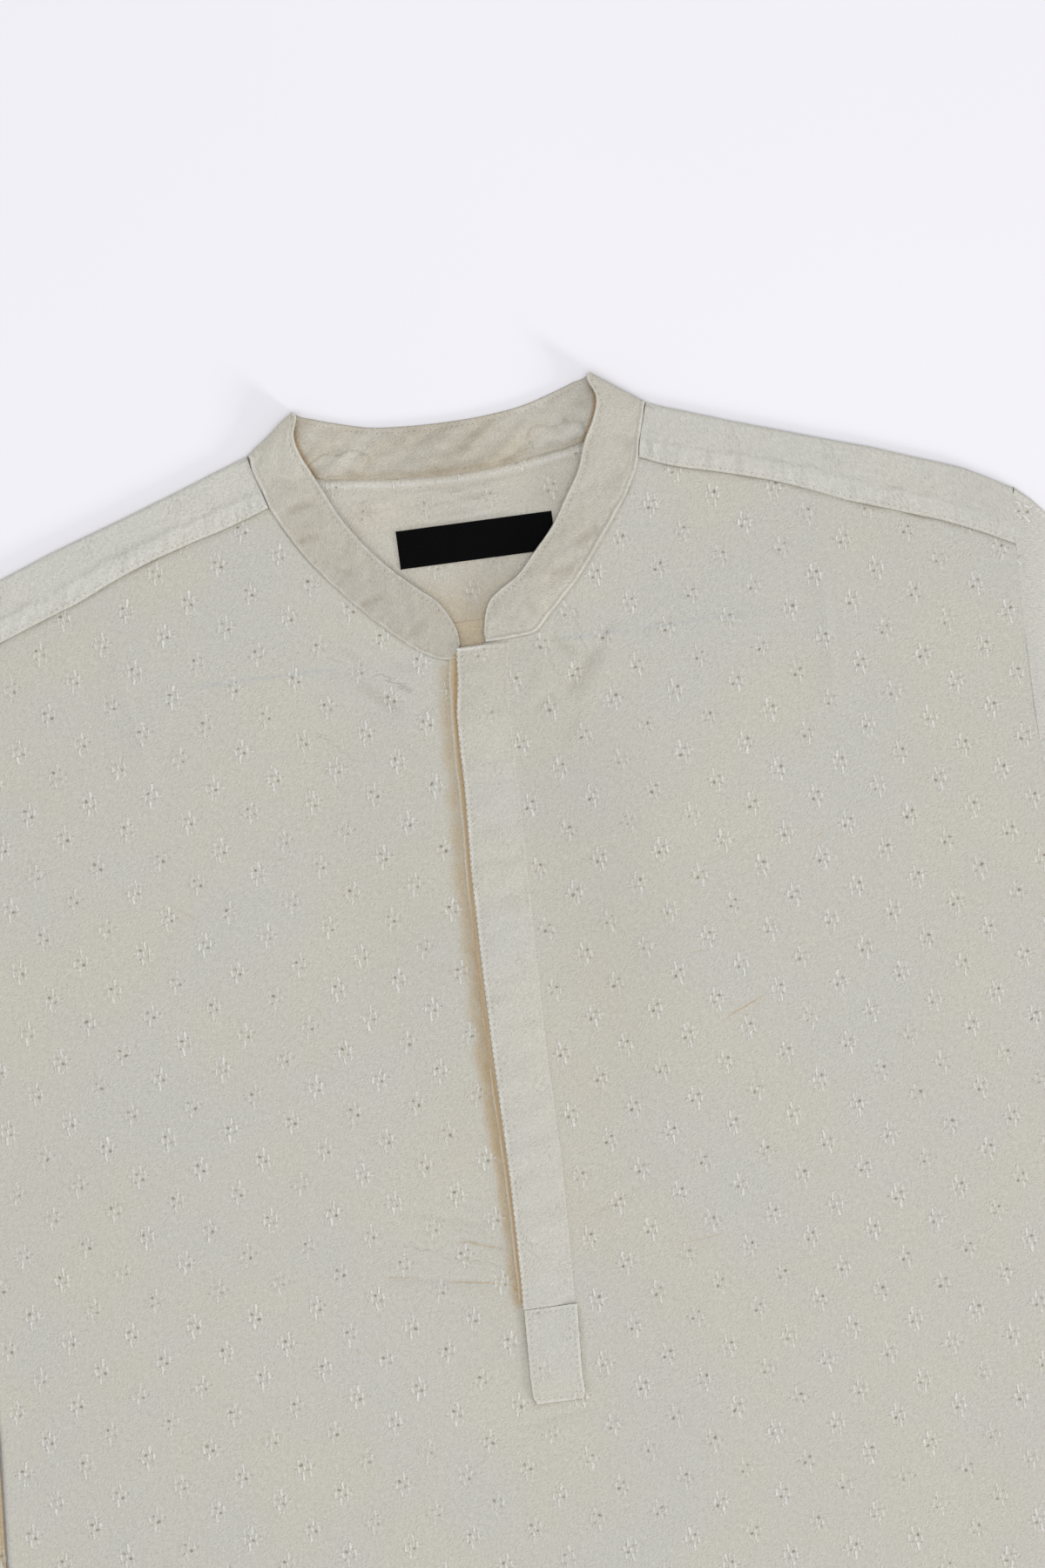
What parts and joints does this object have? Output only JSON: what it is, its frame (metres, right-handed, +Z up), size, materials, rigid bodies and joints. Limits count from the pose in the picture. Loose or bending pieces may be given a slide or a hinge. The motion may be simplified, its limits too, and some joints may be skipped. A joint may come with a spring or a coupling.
{
  "type": "band collar pullover shirt laid flat",
  "caption": "Jacquard cotton pullover shirt with a band collar, half placket and long sleeves, laid flat on its back, front side up.",
  "frame": {"origin": "centre of the garment's outline, on the surface that it lies on", "axes": "+X to the right of someone looking at the front, +Y from the hem to the collar, +Z up out of the front"},
  "size_m": [0.8106, 0.7775, 0.009],
  "materials": {
    "jacquard": "matte ecru cotton with small raised woven stars",
    "collar_cloth": "matte ecru cotton, pressed flat and topstitched",
    "label_black": "matte black woven label, blank"
  },
  "bodies": {
    "root": {"back": "jacquard", "yoke": "jacquard", "front": "jacquard", "sleeve_left": "jacquard", "sleeve_right": "jacquard", "collar": "collar_cloth", "placket_under": "collar_cloth", "placket_top": "collar_cloth", "placket_tab": "collar_cloth", "label": "label_black"}
  },
  "joints": []
}
